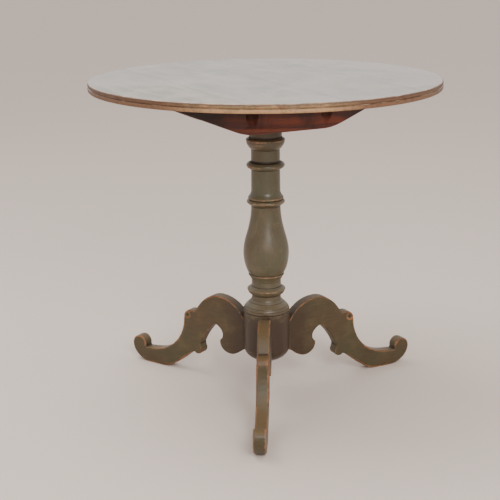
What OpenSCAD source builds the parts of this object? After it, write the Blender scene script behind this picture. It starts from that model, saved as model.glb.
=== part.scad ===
// Tilt top table: a round painted top on a turned pillar with three scroll legs.
// Millimetres. +Z is up, the origin is on the floor under the pillar's axis,
// the bearers run along X and the top tilts about an axis along Y.

/* [Top] */
// Height of the table, floor to top surface
table_h = 750; // [705:1:900]
// Diameter of the round top
top_d = 800; // [640:1:960]
// Thickness of the top boards
top_t = 19; // [15:1:24]
// Where the glued joints between the boards lie
board_joints = [-215, -20, 185]; // three places, left to right
// Depth of the rounded reeds on the rim
reed_depth = 3; // [1:0.5:5]

/* [Bearers] */
// Length of a bearer
bearer_l = 600; // [480:1:640]
// Thickness of a bearer
bearer_t = 28; // [20:1:34]
// Depth of a bearer at its middle
bearer_h = 87; // [76:1:104]
// Length of the straight stretch at the bottom of a bearer
bearer_flat = 218; // [180:1:240]
// Height of the blunt end of a bearer
bearer_end_h = 8; // [5:1:12]
// Distance of the screw pockets from the middle of a bearer
pocket_x = 93; // [70:1:110]
// Width of a screw pocket
pocket_w = 34; // [24:1:40]
// Depth of a screw pocket at its roof
pocket_depth = 20; // [19:1:23]
// Distance of the end screws from the middle of a bearer
end_screw_x = 245; // [200:1:260]

/* [Block and pivot] */
// Width of the block, between the bearers
block_w = 178; // [150:1:200]
// Thickness of the block
block_t = 60; // [58:1:72]
// Reach of the block from the pillar's axis towards the catch
block_reach = 95; // [80:1:110]
// Distance of the tilt axis from the pillar's axis
pivot_x = 60; // [50:1:75]
// Distance of the tilt axis below the top
pivot_drop = 45; // [38:1:46]
// Diameter of a pivot pin
pivot_d = 24; // [18:1:28]
// Wood left in a bearer over the end of its pivot pin
pivot_cover = 5; // [3:1:8]
// Length of a pivot pin inside the block
pivot_root = 40; // [25:1:50]

/* [Pillar] */
// Diameter of the drum that takes the legs
drum_d = 110; // [96:1:130]
// Diameter of the pillar's plain shaft
shaft_d = 67; // [56:1:76]
// Diameter of the vase at its widest
vase_d = 107; // [92:1:120]
// Diameter of the turned rings
ring_d = 90; // [80:1:100]
// Diameter of the neck under the block
neck_d = 76; // [66:1:84]
// Diameter of the tenon through the block
tenon_d = 50; // [36:1:56]
// Height of the pillar's bottom above the floor
pillar_z = 74; // [60:1:85]

/* [Legs] */
// Reach of a leg from the pillar's axis
leg_reach = 399; // [340:1:470]
// Thickness of a leg
leg_t = 28; // [22:1:36]
// Depth of the dovetail that holds a leg
dovetail_depth = 18; // [12:1:22]
// Width of the dovetail at its root
dovetail_w = 20; // [16:1:22]
// Width of the dovetail at its neck
dovetail_neck = 14; // [10:1:15]

/* [Catch] */
// Length of the catch's case
case_l = 60; // [50:1:80]
// Width of the catch's case
case_w = 34; // [28:1:44]
// Depth of the catch's case
case_h = 15; // [13:1:18]
// Thickness of the brass walls
brass_t = 2; // [1.5:0.1:2.5]
// Width of the bolt
bolt_w = 10; // [8:1:12]
// Thickness of the bolt
bolt_h = 7; // [6:0.5:8]
// Travel of the bolt
bolt_travel = 11; // [8:1:12]
// Diameter of the knob
knob_d = 14; // [10:1:18]

/* [Fits] */
// Gap between faces that move past each other
run_gap = 1; // [0.5:0.1:1.5]
// Clearance around a pivot pin
pin_fit = 0.08; // [0.02:0.01:0.1]
// Clearance around the bolt in its case
bolt_fit = 0.4; // [0.3:0.1:0.6]
// Gap between glued or wedged faces
glue_gap = 0.1; // [0.05:0.05:0.2]
// Gap between the block and the top when the top is down
seat_gap = 0.2; // [0.1:0.1:0.5]

/* [Hidden] */
$fn = 96;

top_r = top_d / 2;
under_z = table_h - top_t;
bearer_y = block_w / 2 + run_gap;
bearer_z = under_z - bearer_h;
block_top = under_z - seat_gap;
block_z = under_z - block_t;
pivot_z = under_z - pivot_drop;
pivot_reach = bearer_t - pivot_cover - 1;
drum_r = drum_d / 2;
shaft_r = shaft_d / 2;
vase_r = vase_d / 2;
ring_r = ring_d / 2;
neck_r = neck_d / 2;
tenon_r = tenon_d / 2;

// Heights on the pillar, counted up from its bottom, for the turned shapes.
drum_z = pillar_z + 36;
bell_z = pillar_z + 124;
foot_ring_z = pillar_z + 178;
vase_z = pillar_z + 217;
vase_top_z = pillar_z + 380;
// Heights counted down from the block, so that the shaft takes up any change.
collar_z = block_z - 62;
cup_z = block_z - 84.5;
mid_ring_z = block_z - 121.5;

// Dovetails stop short of the drum's top.
socket_top = drum_z + 50;
leg_root_z = drum_z - 16;

screw_d = 5;
screw_head_d = 9;
pocket_roof = 30;
end_screw_cover = 14;
screw_bite = 13;

case_x = block_reach + brass_t + 5 * run_gap;
case_z = under_z - case_h;
bolt_z = under_z - case_h / 2;
bolt_l = case_l - 22;
bolt_x = case_x + run_gap;
spring_x = bolt_x + bolt_l;
case_end = case_x + case_l;
keep_h = 26;
keep_w = 30;
small_screw_d = 3;
small_head_d = 6;

// Points on a cubic curve from p[0] to p[3], leaving out the last one.
function curve(p, steps = 8) = [
    for (i = [0 : steps - 1])
        let (t = i / steps, u = 1 - t)
            u * u * u * p[0] + 3 * u * u * t * p[1] + 3 * u * t * t * p[2] + t * t * t * p[3]
];

// Points on an arc about c from angle a to angle b.
function arc(c, r, a, b, steps = 8) = [
    for (i = [0 : steps])
        let (t = a + (b - a) * i / steps)
            c + r * [cos(t), sin(t)]
];

// Points on a quarter or part ellipse with radii rx and rz.
function oval(c, rx, rz, a, b, steps = 8) = [
    for (i = [0 : steps])
        let (t = a + (b - a) * i / steps)
            c + [rx * cos(t), rz * sin(t)]
];

// ---------- Top ----------

// The rim is two reeds with a quirk between them, under a small rounded arris.
function rim_profile() = concat(
    [[0, under_z]],
    oval([top_r - reed_depth, under_z + top_t / 4], reed_depth, top_t / 4, -90, 80),
    oval([top_r - reed_depth, table_h - top_t / 4], reed_depth, top_t / 4, -80, 90),
    [[0, table_h]]
);

module disc() {
    rotate_extrude($fn = 180) polygon(rim_profile());
}

module board(from_x, to_x) {
    intersection() {
        disc();
        translate([from_x, -top_d, under_z - 1]) cube([to_x - from_x, 2 * top_d, top_t + 2]);
    }
}

// What the screws from below cut out of the top.
module top_screw_holes() {
    for (x = [-end_screw_x, -pocket_x, pocket_x, end_screw_x], side = [-1, 1])
        translate([x, side * screw_y(), under_z - 1]) cylinder(d = screw_d, h = screw_bite + 1, $fn = 24);
    case_screw_places() translate([0, 0, -1]) cylinder(d = small_screw_d, h = 10, $fn = 24);
}

module top_board(i) {
    edges = concat([-top_d], board_joints, [top_d]);
    color("#c2c4bc") difference() {
        board(edges[i - 1], edges[i]);
        top_screw_holes();
    }
}

// ---------- Bearers ----------

function screw_y() = bearer_y + bearer_t / 2;

// Height of the underside of a bearer above its lowest line, at x past the flat.
function taper(x) = (bearer_h - bearer_end_h) * (x - bearer_flat / 2) / (bearer_l / 2 - bearer_flat / 2);

// From the flat at the bottom, round the bend and up the taper to the blunt end.
function half_bearer() = let (a = bearer_flat / 2) concat(
    curve([[a - 26, 0], [a - 6, 0], [a + 10, taper(a + 10)], [a + 28, taper(a + 28)]], 8),
    [[a + 28, taper(a + 28)], [bearer_l / 2, bearer_h - bearer_end_h], [bearer_l / 2, bearer_h]]
);

function bearer_outline() = let (half = half_bearer(), last = len(half) - 1) concat(
    half,
    [for (i = [last : -1 : 0]) [-half[i].x, half[i].y]]
);

// A thumbnail gouged up into the outer face, deepest at its flat roof, which is at z = 0.
module pocket() {
    lean = 26;
    r = pocket_w / 2;
    intersection() {
        translate([0, bearer_t - pocket_depth + r / cos(lean), 0]) rotate([lean, 0, 0])
            translate([0, 0, -3 * pocket_w]) cylinder(r = r, h = 4 * pocket_w, $fn = 48);
        translate([-pocket_w, 0, -2 * pocket_w]) cube([2 * pocket_w, bearer_t + pocket_w, 2 * pocket_w]);
    }
}

// One bearer, outer face towards +Y, with its inner face at y = 0.
module bearer_blank() {
    translate([0, bearer_t, 0]) rotate([90, 0, 0]) linear_extrude(bearer_t) polygon(bearer_outline());
}

module bearer() {
    difference() {
        translate([0, bearer_y, bearer_z]) bearer_blank();
        for (x = [-pocket_x, pocket_x]) {
            translate([x, bearer_y, under_z - pocket_roof]) pocket();
            translate([x, screw_y(), under_z - pocket_roof - 1]) cylinder(d = screw_d, h = pocket_roof + 2, $fn = 24);
        }
        for (x = [-end_screw_x, end_screw_x]) {
            translate([x, screw_y(), bearer_z]) cylinder(d = screw_head_d + 1, h = bearer_h - end_screw_cover, $fn = 32);
            translate([x, screw_y(), bearer_z]) cylinder(d = screw_d, h = bearer_h + 1, $fn = 24);
        }
        translate([-pivot_x, bearer_y - 1, pivot_z]) rotate([-90, 0, 0])
            cylinder(r = pivot_d / 2 + pin_fit, h = pivot_reach + 2);
    }
}

module bearer_back() {
    color("#7a4028") bearer();
}

module bearer_front() {
    color("#7a4028") mirror([0, 1, 0]) bearer();
}

// A wood screw standing head down at the origin, its shank going up.
module wood_screw(shank_d, head_d, length) {
    difference() {
        union() {
            cylinder(d1 = head_d, d2 = shank_d, h = (head_d - shank_d) / 2, $fn = 32);
            cylinder(d = shank_d - 2 * glue_gap, h = length, $fn = 24);
        }
        translate([-head_d, -head_d / 12, -1]) cube([2 * head_d, head_d / 6, 1 + head_d / 10]);
    }
}

module bearer_screws() {
    color("#5b554d") for (side = [-1, 1], end = [-1, 1]) {
        translate([end * pocket_x, side * screw_y(), under_z - pocket_roof - 2.2])
            wood_screw(screw_d, screw_head_d, pocket_roof + 2.2 + screw_bite - 1);
        translate([end * end_screw_x, side * screw_y(), under_z - end_screw_cover - 2.2])
            wood_screw(screw_d, screw_head_d, end_screw_cover + 2.2 + screw_bite - 1);
    }
}

// ---------- Block, pins and wedge ----------

module tilt_block() {
    end_r = pivot_drop - run_gap;
    color("#8a5a38") difference() {
        union() {
            translate([-pivot_x, -block_w / 2, block_z]) cube([pivot_x + block_reach, block_w, block_top - block_z]);
            // The end over the pivot is rounded, so that the top can swing round it.
            intersection() {
                translate([-pivot_x, block_w / 2, pivot_z]) rotate([90, 0, 0]) cylinder(r = end_r, h = block_w);
                translate([-pivot_x - end_r, -block_w / 2, pivot_z]) cube([end_r, block_w, end_r]);
            }
            translate([-pivot_x - end_r, -block_w / 2, block_z]) cube([end_r, block_w, pivot_z - block_z]);
        }
        translate([0, 0, block_z - 1]) cylinder(r = tenon_r + glue_gap, h = block_t + 2);
        for (side = [-1, 1])
            translate([-pivot_x, side * (block_w / 2 + 1), pivot_z]) rotate([side * 90, 0, 0])
                cylinder(r = pivot_d / 2, h = pivot_root + 1);
        // Room for the thrown bolt behind the keep.
        translate([block_reach - bolt_travel - 4, -bolt_w / 2 - 2, bolt_z - bolt_h / 2 - 2])
            cube([bolt_travel + 5, bolt_w + 4, bolt_h + 4]);
        keep_screw_places() translate([0, 0, -1]) cylinder(d = small_screw_d, h = 14, $fn = 24);
    }
}

module pivot_pin() {
    color("#9a6a42") translate([-pivot_x, block_w / 2 - pivot_root, pivot_z]) rotate([-90, 0, 0]) difference() {
        cylinder(d = pivot_d, h = pivot_root + run_gap + pivot_reach);
        // Small chamfer round the free end.
        translate([0, 0, pivot_root + run_gap + pivot_reach - 1.5]) difference() {
            cylinder(d = pivot_d + 2, h = 2);
            cylinder(d1 = pivot_d, d2 = pivot_d - 4, h = 2);
        }
    }
}

module pivot_pin_back() {
    pivot_pin();
}

module pivot_pin_front() {
    mirror([0, 1, 0]) pivot_pin();
}

wedge_t = 5;
wedge_h = 34;

// The slot in the tenon and the wedge share one outline, across the block's grain.
module wedge_shape(extra) {
    translate([0, tenon_r - 2, block_top]) rotate([90, 0, 0]) linear_extrude(tenon_d - 4)
        polygon([[-wedge_t / 2 - extra, 0.01], [wedge_t / 2 + extra, 0.01], [1 + extra, -wedge_h], [-1 - extra, -wedge_h]]);
}

module tenon_wedge() {
    color("#b98d5c") wedge_shape(0);
}

// ---------- Pillar ----------

// Bottom of the pillar and the drum, up to the bell.
function drum_profile() = concat(
    [[0, pillar_z]],
    oval([0, drum_z], drum_r, drum_z - pillar_z, -84, 0, 12),
    [[drum_r, bell_z]]
);

function pillar_profile() = concat(
    drum_profile(),
    // Bell over the drum, running up in one sweep to the neck at the foot.
    [[drum_r - 1.2, bell_z + 0.6], [drum_r - 1.2, bell_z + 1.6]],
    curve([[drum_r - 0.4, bell_z + 2.2], [drum_r - 0.2, bell_z + 13], [shaft_r + 12, bell_z + 18],
        [shaft_r + 6, bell_z + 24.5]], 8),
    curve([[shaft_r + 6, bell_z + 24.5], [shaft_r + 2.5, bell_z + 28], [shaft_r + 0.6, bell_z + 31],
        [shaft_r + 0.5, bell_z + 36]], 5),
    // Ring at the foot of the baluster, undercut below and swept out above.
    curve([[shaft_r + 0.5, foot_ring_z - 13], [shaft_r + 5, foot_ring_z - 11.5], [ring_r - 2.5, foot_ring_z - 8],
        [ring_r - 1.2, foot_ring_z - 3]], 6),
    arc([ring_r - 2.5, foot_ring_z], 2.5, -50, 60, 6),
    curve([[ring_r - 2.4, foot_ring_z + 2.8], [shaft_r + 5, foot_ring_z + 4.5], [shaft_r + 1.2, foot_ring_z + 6.5],
        [shaft_r + 0.8, foot_ring_z + 10]], 6),
    // Cone up to a fillet under the vase.
    curve([[shaft_r + 0.8, vase_z - 18], [shaft_r + 2, vase_z - 13], [ring_r - 6.5, vase_z - 9],
        [ring_r - 4, vase_z - 4]], 6),
    [[ring_r - 3, vase_z - 3.6], [ring_r - 3, vase_z - 1.4], [ring_r - 4.6, vase_z - 0.5]],
    // Vase, fullest low down.
    curve([[ring_r - 4.2, vase_z], [vase_r - 5, vase_z + 12], [vase_r, vase_z + 30], [vase_r, vase_z + 50]], 10),
    curve([[vase_r, vase_z + 50], [vase_r, vase_z + 86], [shaft_r + 1.5, vase_z + 108],
        [shaft_r + 0.8, vase_top_z]], 14),
    [[shaft_r + 0.8, vase_top_z]],
    // Double ring over the vase.
    [[ring_r - 7.5, vase_top_z + 2.2], [ring_r - 5.4, vase_top_z + 3.4]],
    oval([ring_r - 6, vase_top_z + 9.5], 5.5, 5, -72, 80, 8),
    [[ring_r - 6.5, vase_top_z + 15]],
    arc([ring_r - 6.5, vase_top_z + 18.8], 3, -60, 60, 6),
    curve([[ring_r - 5.2, vase_top_z + 22], [shaft_r + 3.5, vase_top_z + 25], [shaft_r + 0.5, vase_top_z + 30],
        [shaft_r, vase_top_z + 37]], 6),
    // Shaft with its ring.
    [[shaft_r, mid_ring_z - 8.8], [shaft_r + 4.4, mid_ring_z - 7.8]],
    oval([shaft_r + 3.5, mid_ring_z], ring_r - shaft_r - 4, 6.8, -72, 78, 8),
    [[shaft_r + 2, mid_ring_z + 7.4], [shaft_r, mid_ring_z + 8.4]],
    // Rounded cup up to a lip under the neck.
    curve([[shaft_r, cup_z], [shaft_r + 3.5, cup_z + 3.5], [ring_r - 2.5, cup_z + 9], [ring_r, collar_z - 4]], 8),
    [[ring_r + 0.2, collar_z + 0.8], [ring_r - 1, collar_z + 2.6]],
    [[neck_r, collar_z + 5.5], [neck_r, block_z - glue_gap], [tenon_r, block_z - glue_gap], [tenon_r, block_top],
        [0, block_top]]
);

// Dovetail tongue on the end of a leg, widened by extra when it is used to cut.
module tongue(extra, low, high) {
    root_x = drum_r - dovetail_depth - extra;
    translate([0, 0, low]) linear_extrude(high - low) polygon([
        [root_x, -dovetail_w / 2 - extra], [drum_r + 12, -dovetail_neck / 2 - extra + 12 * slope()],
        [drum_r + 12, dovetail_neck / 2 + extra - 12 * slope()], [root_x, dovetail_w / 2 + extra]
    ]);
}

// Half of how much a dovetail narrows for each millimetre towards its neck.
function slope() = (dovetail_w - dovetail_neck) / 2 / dovetail_depth;

leg_angles = [0, 120, -120];

module pillar() {
    color("#6d634c") difference() {
        rotate_extrude($fn = 120) polygon(pillar_profile());
        for (a = leg_angles) rotate([0, 0, a]) tongue(glue_gap, pillar_z - 5, socket_top + glue_gap);
        wedge_shape(0);
    }
}

// ---------- Legs ----------

// One leg's outline, x out from the pillar's axis and y up.
// Stations are counted from the drum (d) at the inner end, and from the reach (e) at the foot.
function leg_outline() = let (d = drum_r, e = leg_reach, m = (drum_r + leg_reach) / 2 - 227)
    concat(
        // Hump, from the drum over to the valley behind the ear.
        [[d - 12, 158]],
        curve([[d, 165], [d + 14, 190], [d + 40, 213], [m + 133, 213]], 8),
        curve([[m + 133, 213], [m + 162, 213], [m + 185, 190], [m + 202, 160.5]], 8),
        // Ear, then the long hollow down to the foot.
        curve([[m + 202, 160.5], [m + 211, 165.5], [m + 234, 163], [m + 235, 144]], 8),
        curve([[m + 235, 144], [m + 234, 90], [e - 127, 43], [e - 60, 39]], 12),
        // Scroll at the toe.
        curve([[e - 60, 39], [e - 47, 38], [e - 38, 36], [e - 35, 38]], 4),
        arc([e - 20, 45], 20, 200, 90, 10),
        curve([[e - 20, 65], [e - 4, 63], [e, 53], [e, 43]], 6),
        curve([[e, 43], [e - 1, 22], [e - 20, 2], [e - 54, 0]], 10),
        // Sole, and the underside back up to the notch.
        [[e - 54, 0], [e - 98, 0]],
        curve([[e - 101, 0], [e - 134, 5], [m + 235, 38], [m + 206, 58]], 10),
        // Outer lobe.
        arc([m + 195, 64], 12.5, -40, -215, 10),
        // Up the outer side of the arch, over, and down to the inner ear.
        curve([[m + 187, 80], [m + 180, 100], [m + 160, 126], [m + 143, 140]], 8),
        curve([[m + 143, 140], [d + 78, 141], [d + 58, 124], [d + 65, 110]], 8),
        curve([[d + 65, 110], [d + 66, 106], [d + 70, 104], [d + 72, 102]], 4),
        // Inner lobe, back to the drum.
        curve([[d + 72, 102], [d + 75, 86], [d + 60, 71], [d + 42, 71]], 8),
        curve([[d + 42, 71], [d + 26, 71], [d + 10, 84], [d, 95]], 6),
        [[d - 12, 95]]
    );

module leg() {
    color("#6a614b") union() {
        difference() {
            translate([0, leg_t / 2, 0]) rotate([90, 0, 0]) linear_extrude(leg_t) polygon(leg_outline());
            translate([0, 0, pillar_z - 50]) cylinder(r = drum_r, h = 250, $fn = 120);
        }
        difference() {
            tongue(0, leg_root_z, socket_top);
            translate([drum_r + 1, -leg_t, 0]) cube([40, 2 * leg_t, 300]);
        }
    }
}

module leg_catch_side() {
    rotate([0, 0, leg_angles[0]]) leg();
}

module leg_back() {
    rotate([0, 0, leg_angles[1]]) leg();
}

module leg_front() {
    rotate([0, 0, leg_angles[2]]) leg();
}

// ---------- Catch ----------

module case_screw_places() {
    for (x = [case_x + 8, case_end - 8], side = [-1, 1])
        translate([x, side * (case_w / 2 + 5), under_z]) children();
}

// Slot that the knob's stem runs in.
module stem_slot() {
    stem_r = 3 + bolt_fit;
    for (x = [0, bolt_travel]) translate([stem_x() - x, 0, case_z - 1]) cylinder(r = stem_r, h = brass_t + 2, $fn = 32);
    translate([stem_x() - bolt_travel, -stem_r, case_z - 1]) cube([bolt_travel, 2 * stem_r, brass_t + 2]);
}

function stem_x() = bolt_x + bolt_l - 12;

module catch_case() {
    flange = 10;
    color("#b08d4a") difference() {
        union() {
            translate([case_x, -case_w / 2, case_z]) cube([case_l, case_w, case_h]);
            translate([case_x, -case_w / 2 - flange, under_z - brass_t]) cube([case_l, case_w + 2 * flange, brass_t]);
        }
        translate([case_x + brass_t, -case_w / 2 + brass_t, case_z + brass_t])
            cube([case_l - 2 * brass_t, case_w - 2 * brass_t, case_h]);
        translate([case_x - 1, -bolt_w / 2 - bolt_fit, bolt_z - bolt_h / 2 - bolt_fit])
            cube([brass_t + 2, bolt_w + 2 * bolt_fit, bolt_h + 2 * bolt_fit]);
        stem_slot();
        case_screw_places() translate([0, 0, -brass_t - 1]) cylinder(d = small_screw_d + 2 * glue_gap, h = brass_t + 2, $fn = 24);
    }
}

module catch_bolt() {
    color("#c8a55c") difference() {
        union() {
            translate([bolt_x, -bolt_w / 2, bolt_z - bolt_h / 2]) cube([bolt_l, bolt_w, bolt_h]);
            // Spigot that the spring sits on.
            translate([bolt_x + bolt_l, 0, bolt_z]) rotate([0, 90, 0]) cylinder(d = 3, h = 5, $fn = 24);
        }
        // The nose is bevelled so that it rides over the keep.
        translate([bolt_x, -bolt_w, bolt_z + bolt_h / 2]) rotate([0, 30, 0]) translate([-20, 0, 0]) cube([20, 2 * bolt_w, 20]);
        translate([stem_x(), 0, bolt_z - bolt_h]) cylinder(r = 2, h = bolt_h, $fn = 24);
    }
}

module catch_knob() {
    color("#c8a55c") translate([stem_x(), 0, 0]) {
        translate([0, 0, case_z - 4]) cylinder(r = 3, h = bolt_z - bolt_h / 2 - case_z + 4, $fn = 32);
        translate([0, 0, bolt_z - bolt_h / 2]) cylinder(r = 2 - glue_gap, h = bolt_h / 2 - 0.5, $fn = 24);
        translate([0, 0, case_z - 4 - knob_d / 2 + 1]) sphere(d = knob_d, $fn = 48);
    }
}

spring_r = 3.2;
spring_wire = 0.9;
spring_turns = 6;

// Points along the spring's wire, and the ring of points round each one.
function spring_point(t, l) = [t * l, spring_r * cos(360 * spring_turns * t), spring_r * sin(360 * spring_turns * t)];

module catch_spring() {
    length = case_end - brass_t - spring_x - spring_wire - 2 * glue_gap;
    rings = spring_turns * 12;
    sides = 8;
    points = [
        for (i = [0 : rings], k = [0 : sides - 1])
            let (t = i / rings, turn = 360 * spring_turns * t, a = 360 * k / sides)
                spring_point(t, length) + spring_wire / 2 * [sin(a), cos(a) * cos(turn), cos(a) * sin(turn)]
    ];
    faces = concat(
        [[for (k = [0 : sides - 1]) k]],
        [for (i = [0 : rings - 1], k = [0 : sides - 1])
            [i * sides + k, (i + 1) * sides + k, (i + 1) * sides + (k + 1) % sides, i * sides + (k + 1) % sides]],
        [[for (k = [sides - 1 : -1 : 0]) rings * sides + k]]
    );
    color("#d8c38a") translate([spring_x + spring_wire / 2 + glue_gap, 0, bolt_z]) polyhedron(points, faces);
}

module catch_screws() {
    color("#b08d4a") case_screw_places() translate([0, 0, -brass_t - 1.5]) wood_screw(small_screw_d, small_head_d, 11);
}

module keep_screw_places() {
    for (side = [-1, 1])
        translate([block_reach, side * (keep_w / 2 - 5), bolt_z]) rotate([0, -90, 0]) children();
}

module keep_plate() {
    color("#b08d4a") difference() {
        translate([block_reach, -keep_w / 2, block_top - keep_h]) cube([brass_t, keep_w, keep_h]);
        translate([block_reach - 1, -bolt_w / 2 - 1, bolt_z - bolt_h / 2 - 1]) cube([brass_t + 2, bolt_w + 2, bolt_h + 2]);
        keep_screw_places() {
            translate([0, 0, -brass_t - 1]) cylinder(d = small_screw_d + 2 * glue_gap, h = brass_t + 2, $fn = 24);
            translate([0, 0, -brass_t - 0.01]) countersink();
        }
    }
}

// Seat for a flush screw head, mouth down at the origin.
module countersink() {
    head = small_head_d + 2 * glue_gap;
    shank = small_screw_d + 2 * glue_gap;
    cylinder(d1 = head, d2 = shank, h = (head - shank) / 2 + 0.01, $fn = 32);
}

module keep_screws() {
    color("#b08d4a") keep_screw_places() translate([0, 0, -brass_t]) wood_screw(small_screw_d, small_head_d, 14);
}

top_board(1);  // top_board_1
top_board(2);  // top_board_2
top_board(3);  // top_board_3
top_board(4);  // top_board_4
bearer_front();
bearer_back();
bearer_screws();
tilt_block();
pivot_pin_front();
pivot_pin_back();
tenon_wedge();
pillar();
leg_catch_side();
leg_back();
leg_front();
catch_case();
catch_bolt();
catch_knob();
catch_spring();
catch_screws();
keep_plate();
keep_screws();
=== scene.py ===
# Tilt top table: old olive paint over bare wood, on the fixed frame.
import math

import bpy
import numpy as np
from mathutils import Matrix, Vector, noise


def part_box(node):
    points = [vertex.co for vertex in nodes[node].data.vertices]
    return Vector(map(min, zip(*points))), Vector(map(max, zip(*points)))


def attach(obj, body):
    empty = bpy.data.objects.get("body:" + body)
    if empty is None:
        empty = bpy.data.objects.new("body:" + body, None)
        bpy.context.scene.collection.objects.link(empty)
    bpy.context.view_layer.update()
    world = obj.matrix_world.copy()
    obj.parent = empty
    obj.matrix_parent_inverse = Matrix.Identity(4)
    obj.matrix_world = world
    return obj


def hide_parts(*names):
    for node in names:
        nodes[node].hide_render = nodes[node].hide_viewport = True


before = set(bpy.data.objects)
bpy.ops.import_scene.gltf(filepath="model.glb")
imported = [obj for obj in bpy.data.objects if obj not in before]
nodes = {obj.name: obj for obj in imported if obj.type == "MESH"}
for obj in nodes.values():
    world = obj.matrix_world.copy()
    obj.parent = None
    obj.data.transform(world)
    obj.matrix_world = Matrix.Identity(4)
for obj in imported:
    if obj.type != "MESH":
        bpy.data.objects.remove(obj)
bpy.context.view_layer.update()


# Camera, floor and light.
studio = {
    "swing": -27.6,  # degrees that the viewer stands round from the front
    "cameraBack": 2.6022,
    "cameraHigh": 1.0837,
    "pitch": 12.862,
    "heading": -0.804,
    "roll": -0.5505,
    "lens": 82.87,
    "shiftUp": -0.12,
    "floorSize": 80,
    "floorTone": (226, 210, 198),
    "roomTone": (1.0, 0.965, 0.945),
    "roomLight": 0.88,
    "lampsFace": (0, 0, 0.42),
    # name, right, towards the viewer, up, size, watts
    "lamps": [
        ("window", 0.7, 2.6, 1.9, 1.3, 56),
        ("ceiling", -1.0, -0.4, 3.1, 2.4, 50),
    ],
}


def linear(part):
    return ((part / 255 + 0.055) / 1.055) ** 2.4 if part > 10 else part / 3294


def tone(red, green, blue):  # a colour as it looks on screen, made linear
    return (linear(red), linear(green), linear(blue), 1)


def turned(right, near, up):  # from the viewer's right, near and up to x, y and z
    return Matrix.Rotation(math.radians(studio["swing"]), 3, "Z") @ Vector((right, -near, up))


def makeCamera():
    data = bpy.data.cameras.new("viewer")
    data.lens = studio["lens"]
    data.sensor_width = 36
    data.shift_y = studio["shiftUp"]
    camera = bpy.data.objects.new("viewer", data)
    bpy.context.scene.collection.objects.link(camera)
    facing = (
        Matrix.Rotation(math.radians(studio["swing"] - studio["heading"]), 4, "Z")
        @ Matrix.Rotation(math.radians(90 - studio["pitch"]), 4, "X")
        @ Matrix.Rotation(math.radians(studio["roll"]), 4, "Z")
    )
    place = Matrix.Translation(turned(0, studio["cameraBack"], studio["cameraHigh"]))
    camera.matrix_world = place @ facing
    bpy.context.scene.camera = camera


def makeLights():
    world = bpy.data.worlds.new("room")
    world.use_nodes = True
    back = world.node_tree.nodes["Background"]
    back.inputs["Color"].default_value = (*studio["roomTone"], 1)
    back.inputs["Strength"].default_value = studio["roomLight"]
    bpy.context.scene.world = world
    middle = Vector(studio["lampsFace"])
    for name, right, near, up, size, watts in studio["lamps"]:
        data = bpy.data.lights.new(name, "AREA")
        data.shape = "DISK"
        data.size = size
        data.energy = watts
        lamp = bpy.data.objects.new(name, data)
        bpy.context.scene.collection.objects.link(lamp)
        lamp.location = turned(right, near, up)
        lamp.rotation_euler = (middle - lamp.location).to_track_quat("-Z", "Y").to_euler()


def startMaterial(name):
    material = bpy.data.materials.new(name)
    material.use_nodes = True
    tree = material.node_tree
    tree.nodes.clear()
    shader = tree.nodes.new("ShaderNodeBsdfPrincipled")
    output = tree.nodes.new("ShaderNodeOutputMaterial")
    tree.links.new(shader.outputs["BSDF"], output.inputs["Surface"])
    return material, tree, shader


def put(tree, kind, values, **settings):
    node = tree.nodes.new("ShaderNode" + kind)
    for key, value in settings.items():
        setattr(node, key, value)
    for key, value in values.items():
        if isinstance(value, bpy.types.NodeSocket):
            tree.links.new(value, node.inputs[key])
        else:
            node.inputs[key].default_value = value
    return node


def placeOn(tree, turn=0):  # object coordinates, turned to lie along the piece
    where = put(tree, "TexCoord", {}).outputs["Object"]
    values = {"Vector": where, "Rotation": (0, 0, -math.radians(turn))}
    return put(tree, "Mapping", values).outputs["Vector"]


def upwardOf(tree):  # 1 where the skin faces up, -1 where it faces down
    return parts(tree, put(tree, "TexCoord", {}).outputs["Normal"])[2]


def stretched(tree, place, scale):
    return put(tree, "Mapping", {"Vector": place, "Scale": scale}).outputs["Vector"]


def cloudy(tree, place, scale, detail=4, rough=0.55, warp=0):
    values = {"Vector": place, "Scale": scale, "Detail": detail}
    values |= {"Roughness": rough, "Distortion": warp}
    return put(tree, "TexNoise", values).outputs["Fac"]


def ranged(tree, value, low, high, start=0, end=1):  # an eased step from start to end
    values = {"Value": value, "From Min": low, "From Max": high, "To Min": start, "To Max": end}
    return put(tree, "MapRange", values, interpolation_type="SMOOTHSTEP").outputs["Result"]


def maths(tree, operation, first, second=0.0):
    return put(tree, "Math", {0: first, 1: second}, operation=operation).outputs[0]


def times(tree, first, second):
    return maths(tree, "MULTIPLY", first, second)


def plus(tree, first, *others):
    for other in others:
        first = maths(tree, "ADD", first, other)
    return first


def minus(tree, first, second):
    return maths(tree, "SUBTRACT", first, second)


def greater(tree, first, second):
    return maths(tree, "MAXIMUM", first, second)


def away(tree, value, middle):  # distance from the middle, either way
    return maths(tree, "ABSOLUTE", minus(tree, value, middle))


def mixed(tree, amount, first, second):
    values = {0: amount, 6: first, 7: second}
    return put(tree, "Mix", values, data_type="RGBA").outputs[2]


def bumped(tree, shader, height, depth, strength=1.0):
    values = {"Height": height, "Distance": depth, "Strength": strength}
    tree.links.new(put(tree, "Bump", values).outputs["Normal"], shader.inputs["Normal"])


def parts(tree, place):
    split = put(tree, "SeparateXYZ", {"Vector": place})
    return split.outputs["X"], split.outputs["Y"], split.outputs["Z"]


def radiusOf(tree, x, y):
    return maths(tree, "SQRT", plus(tree, times(tree, x, x), times(tree, y, y)))


def softEdge(tree, radius):  # 0 on a flat, rising to about 0.3 on a sharp arris
    rounded = put(tree, "Bevel", {"Radius": radius}, samples=6).outputs["Normal"]
    flat = put(tree, "NewGeometry", {}).outputs["Normal"]
    dot = put(tree, "VectorMath", {0: rounded, 1: flat}, operation="DOT_PRODUCT").outputs["Value"]
    return minus(tree, 1.0, dot)


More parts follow.
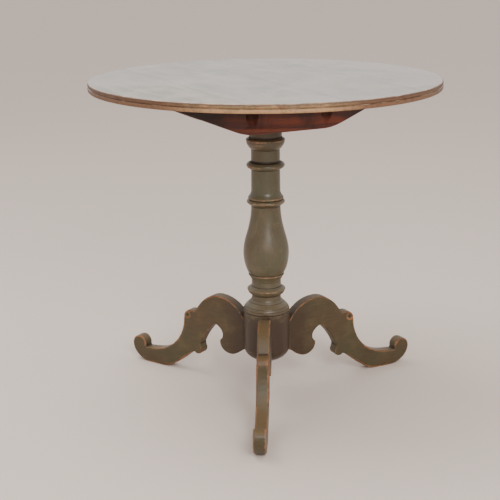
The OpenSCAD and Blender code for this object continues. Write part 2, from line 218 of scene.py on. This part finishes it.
def cloudsOf(tree, places, look):  # every cloud that the look names, by its name
    made = {}
    for name, (where, scale, detail, rough, warp) in look["clouds"].items():
        made[name] = cloudy(tree, places[where], scale, detail, rough, warp)
    return made


def layered(tree, colour, clouds, layers, look):
    for cloud, low, high, amount, tint in layers:
        colour = mixed(tree, ranged(tree, clouds[cloud], low, high, 0, amount), colour, look[tint])
    return colour


# Olive paint, worn through on the arrises.
olivePaint = {
    "paint": tone(82, 68, 45),
    "paintPale": tone(110, 98, 76),
    "paintGreen": tone(75, 73, 52),
    "paintBrown": tone(70, 51, 33),
    "under": tone(126, 104, 78),
    "bare": tone(152, 122, 94),
    "bareDark": tone(104, 72, 48),
    "grimeAndShade": tone(42, 28, 20),
    # Colour of the dark bands: soot, partly painted shade.
    "sootAndShade": tone(47, 28, 17),
    "gloss": 0.34,
    "worn": 0.60,
    "grain": (70, 70, 9),
    "wearFrom": 0.09,  # how sharp an arris has to be before it wears
    "wearTo": 0.20,
    # Faces that look up are paled by dust and by painted top light.
    "dustAndTopLight": 0.75,
    "grimeAndShadeBend": (-0.012, -0.07),  # how deep a hollow has to be to darken with grime and painted shade
    "chipSize": (0.665, 0.70),
    "bump": 0.0004,
    "clouds": {  # laid on, scale, detail, roughness, warp
        "fibres": ("along", 1.0, 7, 0.62, 0.4),
        "broad": ("place", 7, 5, 0.6, 0.5),
        "patches": ("place", 19, 6, 0.62, 0.3),
        "specks": ("place", 420, 3, 0.6, 0),
        "brush": ("along", 3.2, 5, 0.6, 0),
        "comeAndGo": ("place", 13, 6, 0.7, 0.6),
        "nibbled": ("place", 95, 5, 0.7, 0),
        "chips": ("place", 130, 6, 0.7, 1.0),
        "chipAreas": ("place", 6, 3, 0.5, 0),
    },
    "layers": [  # cloud, from, to, amount, colour
        ("broad", 0.38, 0.66, 1, "paintGreen"),
        ("patches", 0.48, 0.76, 0.5, "paintPale"),
        ("patches", 0.46, 0.26, 0.6, "paintBrown"),
        ("brush", 0.35, 0.7, 0.16, "paintPale"),
        ("specks", 0.66, 0.74, 0.5, "under"),
        ("specks", 0.36, 0.28, 0.55, "grimeAndShade"),
    ],
    # Dark bands at the drum and the neck: soot and dirt, partly painted shade under the top and
    # between the legs.
    "sootAndShadeBands": [(2, 0.206, 0.188, 0.8), (2, 0.58, 0.66, 0.75)],  # axis, from, to, amount
    "knocks": None,
}

# The legs are browner, partly a painted warm bounce of light from the floor, and take more knocks
# towards the toe.
legPaint = dict(olivePaint, **{
    "paint": tone(70, 54, 30),
    "paintPale": tone(106, 86, 58),
    "paintGreen": tone(64, 58, 33),
    "paintBrown": tone(60, 39, 21),
    "under": tone(124, 92, 60),
    "bare": tone(146, 98, 60),
    "bareDark": tone(92, 58, 35),
    "gloss": 0.42,
    "grain": (9, 70, 70),
    "wearFrom": 0.042,
    "wearTo": 0.12,
    # Painted shade, partly soot: the legs darken towards the drum, under the top.
    "sootAndShadeBands": [(0, 0.13, 0.06, 0.65)],
    "knocks": (0, 0.08, 0.26, 0.6, 1.3),  # axis, from, to, least and most wear
})

# The front leg gets less painted shade towards the drum.
frontLegPaint = dict(legPaint, sootAndShadeBands=[(0, 0.13, 0.06, 0.15)])


def makeOlive(name, look, turn=0):
    material, tree, shader = startMaterial(name)
    place = placeOn(tree, turn)
    ways = parts(tree, place)
    edge = put(tree, "Attribute", {}, attribute_name="edge").outputs["Fac"]
    clouds = cloudsOf(tree, {"place": place, "along": stretched(tree, place, look["grain"])}, look)
    fibres, patches = clouds["fibres"], clouds["patches"]
    wood = mixed(tree, ranged(tree, fibres, 0.35, 0.65), look["bareDark"], look["bare"])
    paint = layered(tree, look["paint"], clouds, look["layers"], look)

    # Faded where dust lies and paler on faces that look up, partly painted top light, and darker in
    # bands of soot and dirt, partly painted shade under the top and between the legs.
    # Painted top light, partly dust: faces that look up are mixed towards the pale paint.
    dustAndTopLightAmount = times(tree, ranged(tree, upwardOf(tree), 0.35, 0.95), look["dustAndTopLight"])
    paint = mixed(tree, dustAndTopLightAmount, paint, look["paintPale"])
    # Painted shade, partly soot and dirt, in bands along the given axis.
    for axis, start, full, amount in look["sootAndShadeBands"]:
        where = plus(tree, ways[axis], ranged(tree, patches, 0.2, 0.8, -0.02, 0.02))
        paint = mixed(tree, ranged(tree, where, start, full, 0, amount), paint, look["sootAndShade"])
    # Hollows darkened with grime and painted shade.
    recess = ranged(tree, edge, *look["grimeAndShadeBend"])
    hollowGrimeAndShade = times(tree, recess, ranged(tree, patches, 0.25, 0.6, 0.45, 1))
    paint = mixed(tree, hollowGrimeAndShade, paint, look["grimeAndShade"])

    # Wear on the arrises comes and goes. Chips lie in a few areas.
    comeAndGo = ranged(tree, clouds["comeAndGo"], 0.36, 0.64, 0.1, 1.35)
    nibbled = ranged(tree, clouds["nibbled"], 0.35, 0.62, 0.55, 1.2)
    rubbed = times(tree, edge, times(tree, comeAndGo, nibbled))
    if look["knocks"]:
        axis, start, full, least, most = look["knocks"]
        rubbed = times(tree, rubbed, ranged(tree, ways[axis], start, full, least, most))
    chipArea = ranged(tree, clouds["chipAreas"], 0.46, 0.6)
    chips = times(tree, ranged(tree, clouds["chips"], *look["chipSize"]), chipArea)
    thin = ranged(tree, rubbed, look["wearFrom"] * 0.55, look["wearTo"] * 0.8)
    thin = greater(tree, thin, chips)
    through = ranged(tree, rubbed, look["wearFrom"], look["wearTo"])
    through = greater(tree, through, times(tree, chips, ranged(tree, fibres, 0.4, 0.6)))
    colour = mixed(tree, times(tree, thin, 0.8), paint, look["under"])
    colour = mixed(tree, through, colour, wood)
    tree.links.new(colour, shader.inputs["Base Color"])

    rough = ranged(tree, patches, 0.3, 0.7, look["gloss"] - 0.06, look["gloss"] + 0.14)
    dull = ranged(tree, greater(tree, thin, hollowGrimeAndShade), 0, 1, 0, look["worn"] - look["gloss"])
    tree.links.new(plus(tree, rough, dull), shader.inputs["Roughness"])
    shader.inputs["Specular IOR Level"].default_value = 0.5

    film = ranged(tree, through, 0, 1, 1, 0)
    lift = plus(
        tree, times(tree, film, 0.5), times(tree, clouds["brush"], 0.45),
        times(tree, fibres, 0.35), times(tree, clouds["specks"], 0.12),
    )
    bumped(tree, shader, lift, look["bump"])
    return material


# The top's paint under wax, its rubbed rim, and bare wood below.
topPaint = {
    "paint": tone(160, 148, 136),
    "paintPale": tone(188, 172, 161),
    "paintGreen": tone(132, 129, 112),
    "paintPink": tone(170, 149, 138),
    "rimOlive": tone(116, 98, 68),
    "rimOchre": tone(172, 132, 92),
    "rimRedAndShade": tone(84, 50, 34),
    "arris": tone(190, 158, 130),
    "under": tone(96, 56, 34),
    "underDark": tone(56, 30, 20),
    "wax": 0.9,
    "gloss": 0.27,
    "jointLine": 0.0007,
    "rimWaver": 0.0022,
    "litSide": (-0.46, -0.89),  # painted light: the rim is paler on this side, and darker with painted shade away from it
    "bump": 0.0004,
    "brushing": (34, 5, 5),
    "underGrain": (85, 6, 40),
    "clouds": {  # laid on, scale, detail, roughness, warp
        "broad": ("place", 4.2, 4, 0.55, 0.8),
        "patches": ("place", 13, 6, 0.62, 0.4),
        "streaks": ("brushed", 1.0, 6, 0.62, 0.3),
        "specks": ("place", 260, 4, 0.65, 0),
        "ragged": ("place", 60, 5, 0.65, 0),
        "around": ("place", 16, 5, 0.62, 0.6),
        "fine": ("place", 110, 5, 0.7, 0),
        "coarse": ("place", 42, 6, 0.68, 0.5),
        "wobble": ("place", 24, 5, 0.65, 0.5),
        "fibres": ("below", 1.0, 7, 0.62, 0.3),
    },
    "layers": [  # cloud, from, to, amount, colour
        ("broad", 0.40, 0.62, 1, "paintGreen"),
        ("broad", 0.46, 0.34, 0.8, "paintPink"),
        ("patches", 0.45, 0.70, 0.7, "paintPale"),
        ("streaks", 0.42, 0.72, 0.5, "paintPale"),
        ("streaks", 0.40, 0.26, 0.45, "paintGreen"),
        ("specks", 0.68, 0.76, 0.4, "rimOlive"),
    ],
    "rimLayers": [
        ("height", 0.25, 0.60, 0.75, "rimOlive"),
        ("around", 0.50, 0.66, 0.75, "rimOchre"),
        ("around", 0.46, 0.32, 0.85, "rimOlive"),
        ("coarse", 0.50, 0.68, 0.7, "rimRedAndShade"),
        ("fine", 0.50, 0.66, 0.6, "rimOlive"),
        # Painted shade: the rim darkens away from the lit side.
        ("towardsLitSide", 0.39, 0.34, 0.72, "rimRedAndShade"),
        # Painted shade in the quirk between the reeds.
        ("quirk", 0.09, 0.02, 0.5, "rimRedAndShade"),
        ("underArris", 0.10, 0.03, 0.7, "rimRedAndShade"),
    ],
}


def jointLines(tree, x, look):  # faint lines over the glued joints
    lines = None
    for name in ("top_board_1", "top_board_2", "top_board_3"):
        seam = away(tree, x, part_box(name)[1].x)
        line = ranged(tree, seam, look["jointLine"], look["jointLine"] * 2.2, 1, 0)
        lines = line if lines is None else greater(tree, lines, line)
    return lines


def makeTopPaint(look=topPaint):
    material, tree, shader = startMaterial("greyTopPaint")
    place = placeOn(tree)
    x, y, z = parts(tree, place)
    clouds = cloudsOf(tree, {
        "place": place,
        "brushed": stretched(tree, place, look["brushing"]),
        "below": stretched(tree, place, look["underGrain"]),
    }, look)
    patches, streaks, around = clouds["patches"], clouds["streaks"], clouds["around"]
    paint = layered(tree, look["paint"], clouds, look["layers"], look)
    lines = times(tree, jointLines(tree, x, look), ranged(tree, patches, 0.3, 0.6, 0.2, 0.7))
    paint = mixed(tree, lines, paint, look["rimOlive"])

    # The rim is banded up its height: ochre bead, olive reed, a quirk darkened with painted shade
    # and a rubbed arris. It is painted paler towards the lit side and darker with painted shade
    # away from it.
    low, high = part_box("top_board_2")
    share = maths(tree, "DIVIDE", minus(tree, z, low.z), high.z - low.z)
    height = plus(tree, share, ranged(tree, clouds["ragged"], 0.2, 0.8, -0.10, 0.10))
    sideX, sideY = look["litSide"]
    clouds |= {
        "height": height,
        "towardsLitSide": plus(tree, times(tree, x, sideX), times(tree, y, sideY)),
        "quirk": away(tree, share, 0.5),
        "underArris": away(tree, height, 0.86),
    }
    rim = layered(tree, look["rimOchre"], clouds, look["rimLayers"], look)
    waver = look["rimWaver"]
    wobble = ranged(tree, clouds["wobble"], 0.25, 0.75, -waver, waver)
    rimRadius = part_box("top_board_4")[1].x
    inward = minus(tree, rimRadius, plus(tree, radiusOf(tree, x, y), wobble))
    rubbed = times(
        tree, ranged(tree, inward, 0.0070, 0.0030), ranged(tree, around, 0.30, 0.55, 0.25, 1),
    )
    colour = mixed(tree, rubbed, paint, look["arris"])
    colour = mixed(tree, ranged(tree, inward, 0.0035, 0.0015), colour, rim)
    upward = upwardOf(tree)
    side = ranged(tree, upward, 0.75, 0.45)
    downward = ranged(tree, upward, -0.9, -0.97)
    colour = mixed(tree, times(tree, side, ranged(tree, inward, 0.01, 0.008)), colour, rim)
    bare = mixed(tree, ranged(tree, clouds["fibres"], 0.34, 0.66), look["underDark"], look["under"])
    colour = mixed(tree, downward, colour, bare)
    tree.links.new(colour, shader.inputs["Base Color"])

    unwaxed = greater(tree, side, downward)
    rough = ranged(tree, patches, 0.3, 0.7, look["gloss"] - 0.05, look["gloss"] + 0.10)
    rough = plus(tree, rough, ranged(tree, streaks, 0.3, 0.7, 0, 0.06), times(tree, unwaxed, 0.25))
    tree.links.new(rough, shader.inputs["Roughness"])
    shader.inputs["Coat Roughness"].default_value = look["gloss"]
    waxed = minus(tree, look["wax"], times(tree, unwaxed, look["wax"]))
    tree.links.new(waxed, shader.inputs["Coat Weight"])
    lift = plus(tree, times(tree, streaks, 0.6), times(tree, clouds["specks"], 0.10))
    chipped = times(tree, times(tree, clouds["fine"], side), 1.4)
    lift = plus(tree, minus(tree, lift, lines), chipped)
    bumped(tree, shader, lift, look["bump"])
    return material


bareWood = {
    "clouds": {
        "fibres": ("along", 1.0, 8, 0.66, 0.4),
        "patches": ("place", 11, 5, 0.6, 0.4),
        "pores": ("closer", 3.0, 4, 0.7, 0),
    },
    "layers": [
        ("fibres", 0.36, 0.64, 0.55, "pale"),
        ("fibres", 0.5, 0.3, 0.6, "dark"),
        ("patches", 0.52, 0.74, 0.7, "dirtAndShade"),
        ("pores", 0.62, 0.74, 0.6, "dirtAndShade"),
    ],
    "rings": {"Distortion": 7.0, "Detail": 3.0, "Detail Scale": 1.1},
    "ringScale": 0.33,
    # Painted shade towards the ends.
    "shadedEnds": (0.10, 0.19, 0.85),  # from, to, amount
    "arris": 0.003,
    "bump": 0.0006,
}

redPine = dict(bareWood, **{
    "pale": tone(123, 58, 35),
    "dark": tone(62, 25, 17),
    "dirtAndShade": tone(30, 13, 9),
    "gloss": 0.58,
    # Painted shade on the wood above this height, under the top.
    "shadeAbove": 0.69,
    "grain": (7, 60, 60),
})

blockPine = dict(bareWood, **{
    "pale": tone(142, 92, 56),
    "dark": tone(92, 54, 32),
    "dirtAndShade": tone(52, 32, 22),
    "gloss": 0.62,
    "shadeAbove": 0.9,
    "grain": (60, 7, 60),
})

paleHardwood = dict(bareWood, **{
    "pale": tone(196, 156, 108),
    "dark": tone(150, 110, 70),
    "dirtAndShade": tone(96, 66, 42),
    "gloss": 0.52,
    "shadeAbove": 0.9,
    "grain": (60, 9, 60),
    "ringScale": 0.66,
})


def makeBareWood(name, look):
    material, tree, shader = startMaterial(name)
    place = placeOn(tree)
    along = stretched(tree, place, look["grain"])
    x, _, z = parts(tree, place)
    closer = stretched(tree, along, (3.2, 3.2, 3.2))
    clouds = cloudsOf(tree, {"place": place, "along": along, "closer": closer}, look)
    fibres, patches = clouds["fibres"], clouds["patches"]
    rings = {"Vector": along, "Scale": look["ringScale"], **look["rings"]}
    shape = {"wave_type": "BANDS", "bands_direction": "DIAGONAL"}
    bands = put(tree, "TexWave", rings, **shape).outputs["Fac"]
    wood = mixed(tree, ranged(tree, bands, 0.15, 0.9, 0.1, 0.85), look["dark"], look["pale"])
    wood = layered(tree, wood, clouds, look["layers"], look)

    # Painted shade darkens the wood just under the top and towards the ends, and the arrises are
    # rubbed pale.
    stain = plus(tree, z, ranged(tree, patches, 0.2, 0.8, -0.02, 0.02))
    high = ranged(tree, stain, look["shadeAbove"] - 0.03, look["shadeAbove"] + 0.02, 0, 0.85)
    wood = mixed(tree, high, wood, look["dirtAndShade"])
    start, full, amount = look["shadedEnds"]
    # Painted shade towards the ends.
    ends = plus(tree, maths(tree, "ABSOLUTE", x), ranged(tree, patches, 0.2, 0.8, -0.03, 0.03))
    wood = mixed(tree, ranged(tree, ends, start, full, 0, amount), wood, look["dirtAndShade"])
    patchy = ranged(tree, patches, 0.3, 0.7, 0.4, 1.5)
    arris = ranged(tree, times(tree, softEdge(tree, look["arris"]), patchy), 0.03, 0.14)
    wood = mixed(tree, times(tree, arris, 0.7), wood, look["pale"])
    tree.links.new(wood, shader.inputs["Base Color"])
    rough = ranged(tree, fibres, 0.3, 0.7, look["gloss"] - 0.06, look["gloss"] + 0.12)
    tree.links.new(rough, shader.inputs["Roughness"])
    lift = plus(tree, times(tree, fibres, 0.7), times(tree, bands, 0.25))
    lift = minus(tree, lift, times(tree, clouds["pores"], 0.5))
    bumped(tree, shader, lift, look["bump"])
    return material


agedBrass = {
    "bright": tone(206, 168, 98),
    "dull": tone(140, 104, 58),
    "stain": tone(74, 56, 36),
    "rough": 0.30,
}

oldSteel = {
    "bright": tone(112, 106, 98),
    "dull": tone(74, 66, 58),
    "stain": tone(88, 50, 30),
    "rough": 0.42,
}


def makeMetal(name, look):
    material, tree, shader = startMaterial(name)
    place = placeOn(tree)
    patches = cloudy(tree, place, 90, 6, 0.65, 0.5)
    fine = cloudy(tree, place, 700, 5, 0.7)
    scratches = cloudy(tree, stretched(tree, place, (2600, 240, 240)), 1.0, 3, 0.6)
    edge = ranged(tree, softEdge(tree, 0.0009), 0.02, 0.14)
    metal = mixed(tree, ranged(tree, patches, 0.38, 0.66), look["bright"], look["dull"])
    metal = mixed(tree, ranged(tree, fine, 0.56, 0.72, 0, 0.8), metal, look["stain"])
    metal = mixed(tree, times(tree, edge, 0.8), metal, look["bright"])
    tree.links.new(metal, shader.inputs["Base Color"])
    shader.inputs["Metallic"].default_value = 1.0
    rough = ranged(tree, patches, 0.3, 0.7, look["rough"], look["rough"] + 0.22)
    rough = minus(tree, rough, times(tree, edge, 0.08))
    tree.links.new(rough, shader.inputs["Roughness"])
    bumped(tree, shader, plus(tree, scratches, times(tree, fine, 0.6)), 0.00008)
    return material


def deselectAll():
    if bpy.context.object and bpy.context.object.mode != "OBJECT":
        bpy.ops.object.mode_set(mode="OBJECT")
    bpy.ops.object.select_all(action="DESELECT")


def pickOnly(piece):
    deselectAll()
    piece.select_set(True)
    bpy.context.view_layer.objects.active = piece


def copyOf(node, name):  # the frame's own shape, welded so that it can be worked
    piece = bpy.data.objects.new(name, nodes[node].data.copy())
    bpy.context.scene.collection.objects.link(piece)
    piece.data.materials.clear()
    pickOnly(piece)
    if piece.data.has_custom_normals:
        bpy.ops.mesh.customdata_custom_splitnormals_clear()
    bpy.ops.object.mode_set(mode="EDIT")
    bpy.ops.mesh.select_all(action="SELECT")
    bpy.ops.mesh.remove_doubles(threshold=0.00001)
    bpy.ops.mesh.dissolve_limited(angle_limit=math.radians(0.4))
    bpy.ops.mesh.select_all(action="SELECT")
    bpy.ops.mesh.normals_make_consistent(inside=False)
    bpy.ops.object.mode_set(mode="OBJECT")
    return piece


def applyAll(piece):
    pickOnly(piece)
    for modifier in list(piece.modifiers):
        bpy.ops.object.modifier_apply(modifier=modifier.name)


def smooth(piece, angle):
    pickOnly(piece)
    bpy.ops.object.shade_smooth_by_angle(angle=math.radians(angle))


def pointsOf(mesh, what):
    values = np.empty(len(mesh.vertices) * 3)
    mesh.vertices.foreach_get(what, values)
    return values.reshape(-1, 3)


def movePoints(piece, places):
    piece.data.vertices.foreach_set("co", places.ravel())
    piece.data.update()


def markEdges(piece, passes):  # writes how sharply the skin bends, outward bends above zero
    mesh = piece.data
    places, normals = pointsOf(mesh, "co"), pointsOf(mesh, "normal")
    ends = np.empty(len(mesh.edges) * 2, int)
    mesh.edges.foreach_get("vertices", ends)
    first, last = ends[0::2], ends[1::2]
    along = places[last] - places[first]
    square = np.maximum((along ** 2).sum(1), 1e-10)
    count = np.maximum(np.bincount(ends, minlength=len(places)), 1)
    bend = np.zeros(len(places))
    np.add.at(bend, first, -(along * normals[first]).sum(1) / square)
    np.add.at(bend, last, (along * normals[last]).sum(1) / square)
    bend = bend / count * 0.002
    for _ in range(passes):
        near = np.zeros(len(places))
        np.add.at(near, first, bend[last])
        np.add.at(near, last, bend[first])
        bend = (bend + near / count) / 2
    attribute = mesh.attributes.new("edge", "FLOAT", "POINT")
    attribute.data.foreach_set("value", bend.astype(np.float32))


def handWork(piece, size, depth):  # the slight waver of hand tools
    places, normals = pointsOf(piece.data, "co"), pointsOf(piece.data, "normal")
    lift = np.array([noise.noise(Vector(p) / size) for p in places]) * depth
    movePoints(piece, places + normals * lift[:, None])


def finishPiece(piece, body, slot, material, *stoodFor):
    piece.data.materials.clear()
    piece.data.materials.append(material)
    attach(piece, body)
    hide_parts(*stoodFor)


legLook = {
    "skin": 0.0016,  # spacing of the mesh
    "softening": 5,
    "waver": 0.00045,
    "waverSize": 0.028,
    "earAt": (0.2245, 0.1490),  # out, up
    "earRadius": 0.0085,
    "earDepth": 0.0022,
    "earWear": 0.16,
    "faceFrom": 0.011,  # the hollow is sunk in the sawn faces only
    "names": [  # piece, node, turn, paint
        ("scroll_leg_catch_side", "leg_catch_side", 0, legPaint),
        ("scroll_leg_back", "leg_back", 120, legPaint),
        ("scroll_leg_front", "leg_front", -120, frontLegPaint),
    ],
}


def sinkEar(leg, look):  # gouges the hollow of the ear, and gives how far each point is from it
    places = pointsOf(leg.data, "co")
    out, up = look["earAt"]
    far = np.hypot(places[:, 0] - out, places[:, 2] - up) / look["earRadius"]
    sink = np.clip(1 - far ** 2, 0, 1) ** 0.7 * look["earDepth"]
    places[:, 1] -= np.sign(places[:, 1]) * sink * (abs(places[:, 1]) > look["faceFrom"])
    movePoints(leg, places)
    onFace = abs(places[:, 1]) > look["faceFrom"] - 0.002
    return np.exp(-((far - 0.85) / 0.28) ** 2) * onFace


def makeLegs(look=legLook):
    leg = copyOf("leg_catch_side", "scroll_leg")
    skin = leg.modifiers.new("even skin", "REMESH")
    skin.mode = "VOXEL"
    skin.voxel_size = look["skin"]
    soft = leg.modifiers.new("soft arrises", "SMOOTH")
    soft.factor = 0.5
    soft.iterations = look["softening"]
    applyAll(leg)
    aroundEar = sinkEar(leg, look)
    handWork(leg, look["waverSize"], look["waver"])
    places = pointsOf(leg.data, "co")
    places[:, 2] = np.maximum(places[:, 2], 0)  # the feet stay on the floor
    movePoints(leg, places)
    markEdges(leg, 2)
    edges = leg.data.attributes["edge"].data
    bend = np.empty(len(places))
    edges.foreach_get("value", bend)
    edges.foreach_set("value", (bend + look["earWear"] * aroundEar).astype(np.float32))
    smooth(leg, 60)
    for name, node, angle, paint in look["names"]:
        piece = bpy.data.objects.new(name, leg.data.copy())
        bpy.context.scene.collection.objects.link(piece)
        piece.data.transform(Matrix.Rotation(math.radians(angle), 4, "Z"))
        material = makeOlive("olivePaint_" + node, paint, angle)
        finishPiece(piece, "base", "base_paint", material, node)
    bpy.data.objects.remove(leg)
    print("legs done")


pillarLook = {
    "bandStep": 0.004,
    "fineLines": (0.2055, 0.2115, 0.2215),
    "lineWidth": 0.0010,
    "lineDepth": 0.0005,
    "waver": 0.00025,
    "waverSize": 0.05,
}


def makePillar(look=pillarLook):
    pillar = copyOf("pillar", "turned_pillar")
    low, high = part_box("pillar")
    step = look["bandStep"]
    cuts = [low.z + step * i for i in range(1, int((high.z - low.z) / step))]
    for line in look["fineLines"]:
        cuts += [line + look["lineWidth"] * share for share in (-1, -0.5, 0, 0.5, 1)]
    bpy.ops.object.mode_set(mode="EDIT")
    for height in cuts:
        bpy.ops.mesh.select_all(action="SELECT")
        bpy.ops.mesh.bisect(plane_co=(0, 0, height), plane_no=(0, 0, 1))
    bpy.ops.object.mode_set(mode="OBJECT")
    places = pointsOf(pillar.data, "co")
    for line in look["fineLines"]:
        near = np.clip(1 - abs(places[:, 2] - line) / look["lineWidth"], 0, 1)
        radius = np.maximum(np.hypot(places[:, 0], places[:, 1]), 0.03)
        places[:, :2] *= (1 - near * look["lineDepth"] / radius)[:, None]
    movePoints(pillar, places)
    handWork(pillar, look["waverSize"], look["waver"])
    markEdges(pillar, 1)
    smooth(pillar, 42)
    material = makeOlive("olivePaint_pillar", olivePaint)
    finishPiece(pillar, "base", "base_paint", material, "pillar")
    print("pillar done")


topLook = {
    "arrisBand": 0.003,  # width of the band of faces just inside the top's edge
}


def makeTop(look=topLook):
    paint = makeTopPaint()
    for number in (1, 2, 3, 4):
        node = f"top_board_{number}"
        board = copyOf(node, f"painted_board_{number}")
        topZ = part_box(node)[1].z
        for face in board.data.polygons:
            face.select = face.normal.z > 0.999 and face.center.z > topZ - 0.0005
        bpy.ops.object.mode_set(mode="EDIT")
        bpy.ops.mesh.select_mode(type="FACE")
        bpy.ops.mesh.inset(thickness=look["arrisBand"], use_boundary=True)
        bpy.ops.object.mode_set(mode="OBJECT")
        smooth(board, 30)
        finishPiece(board, "top", "top_paint", paint, node)
    print("top done")


# Bearers and block, their sawn arrises eased with a plane.
timberLook = {
    "easing": 0.0016,
    "blockEasing": 0.0012,
    "pocketAt": 0.093,
    "pocketClear": 0.024,  # the pockets keep their gouged edges
    "boreClear": 0.014,
    "shortest": 0.0022,
}


def easeArrises(piece, width, wanted):
    mesh = piece.data
    sides = {}
    for face in mesh.polygons:
        for key in face.edge_keys:
            sides.setdefault(key, []).append(face.normal)
    for item in (*mesh.vertices, *mesh.edges, *mesh.polygons):
        item.select = False
    for edge in mesh.edges:
        normals = sides.get(tuple(sorted(edge.vertices)), [])
        sharp = len(normals) == 2 and normals[0].dot(normals[1]) < 0.5
        first, last = (mesh.vertices[v].co for v in edge.vertices)
        edge.select = sharp and wanted(first, last)
    pickOnly(piece)
    bpy.ops.object.mode_set(mode="EDIT")
    bpy.ops.mesh.select_mode(type="EDGE")
    bpy.ops.mesh.bevel(offset=width, segments=3, profile=0.6, clamp_overlap=True)
    bpy.ops.object.mode_set(mode="OBJECT")
    smooth(piece, 35)


def makeTimbers(look=timberLook):
    bearerWood = makeBareWood("redPine", redPine)
    blockWood = makeBareWood("blockPine", blockPine)
    pinLow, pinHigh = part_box("pivot_pin_back")
    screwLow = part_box("bearer_screws")[0]
    pin = (pinLow + pinHigh) / 2

    def onBearer(first, last):
        middle = (first + last) / 2
        byPocket = abs(abs(middle.x) - look["pocketAt"]) < look["pocketClear"]
        inPocket = byPocket and middle.z > screwLow.z - 0.03
        inBore = math.hypot(middle.x - pin.x, middle.z - pin.z) < look["boreClear"]
        lengthwise = (last - first).length > look["shortest"] and abs(first.y - last.y) < 0.0001
        return lengthwise and not inPocket and not inBore

    for node in ("bearer_front", "bearer_back"):
        bearer = copyOf(node, "planed_" + node)
        easeArrises(bearer, look["easing"], onBearer)
        finishPiece(bearer, "top", "bare_wood", bearerWood, node)
    block = copyOf("tilt_block", "planed_block")
    easeArrises(block, look["blockEasing"], lambda first, last: (last - first).length > 0.05)
    finishPiece(block, "base", "bare_wood", blockWood, "tilt_block")
    print("timbers done")


smallParts = [
    # node, piece, body, slot, easing
    ("pivot_pin_front", "round_pin_front", "base", "pale_wood", 0),
    ("pivot_pin_back", "round_pin_back", "base", "pale_wood", 0),
    ("tenon_wedge", "oak_wedge", "base", "pale_wood", 0.0003),
    ("bearer_screws", "steel_screws", "top", "old_steel", 0),
    ("catch_case", "brass_case", "top", "brass", 0.0004),
    ("catch_bolt", "brass_bolt", "bolt", "brass", 0.0004),
    ("catch_knob", "brass_knob", "bolt", "brass", 0),
    ("catch_screws", "brass_case_screws", "top", "brass", 0),
    ("keep_plate", "brass_keep", "base", "brass", 0.0003),
    ("keep_screws", "brass_keep_screws", "base", "brass", 0),
]


def makeSmallParts():
    materials = {
        "pale_wood": makeBareWood("paleHardwood", paleHardwood),
        "old_steel": makeMetal("oldSteel", oldSteel),
        "brass": makeMetal("agedBrass", agedBrass),
    }
    for node, name, body, slot, easing in smallParts:
        piece = copyOf(node, name)
        if easing:
            ease = piece.modifiers.new("eased edges", "BEVEL")
            ease.width = easing
            ease.segments = 2
            ease.limit_method = "ANGLE"
            ease.angle_limit = math.radians(40)
            applyAll(piece)
        smooth(piece, 38)
        finishPiece(piece, body, slot, materials[slot], node)
    spring = nodes["catch_spring"]
    spring.data.materials.clear()
    spring.data.materials.append(materials["brass"])
    print("pins, screws and catch done")


def makeFloor():
    deselectAll()
    bpy.ops.mesh.primitive_plane_add(size=studio["floorSize"], location=(0, 0, 0))
    floor = bpy.context.object
    floor.name = "floor"
    material, _, shader = startMaterial("paleFloor")
    shader.inputs["Base Color"].default_value = tone(*studio["floorTone"])
    shader.inputs["Roughness"].default_value = 0.7
    floor.data.materials.append(material)


makeCamera()
makeLights()
makeFloor()
makeLegs()
makePillar()
makeTop()
makeTimbers()
makeSmallParts()
